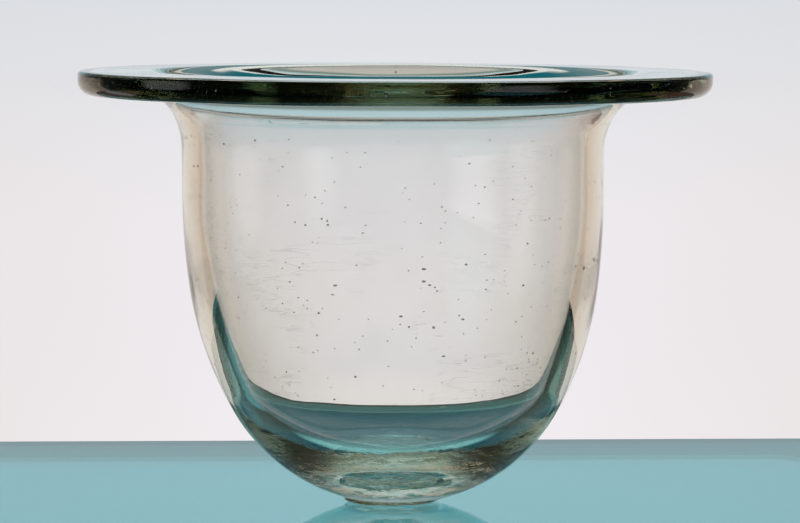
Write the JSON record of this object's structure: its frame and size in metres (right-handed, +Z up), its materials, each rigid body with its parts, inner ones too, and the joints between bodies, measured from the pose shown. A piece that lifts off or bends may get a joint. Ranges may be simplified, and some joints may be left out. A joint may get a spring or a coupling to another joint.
{
  "type": "crystallizing dish",
  "caption": "Deep round-bottomed blown-glass dish with a wide flat flange, standing on a small pontil pad; it holds a solution while crystals grow.",
  "frame": {"origin": "on the axis of the dish, in the plane of the pontil pad's underside that it rests on", "axes": "+Z up the axis of the dish, out of its mouth; +X to the right and +Y away from the viewer of the front view"},
  "size_m": [0.12, 0.12, 0.082],
  "materials": {
    "clear_glass": "gloss, slightly wavy, with small trapped bubbles",
    "pontil_glass": "rough, snapped-off glass"
  },
  "bodies": {
    "root": {"rim_flange": "clear_glass", "bowl": "clear_glass", "pontil_pad": "pontil_glass"}
  },
  "joints": []
}
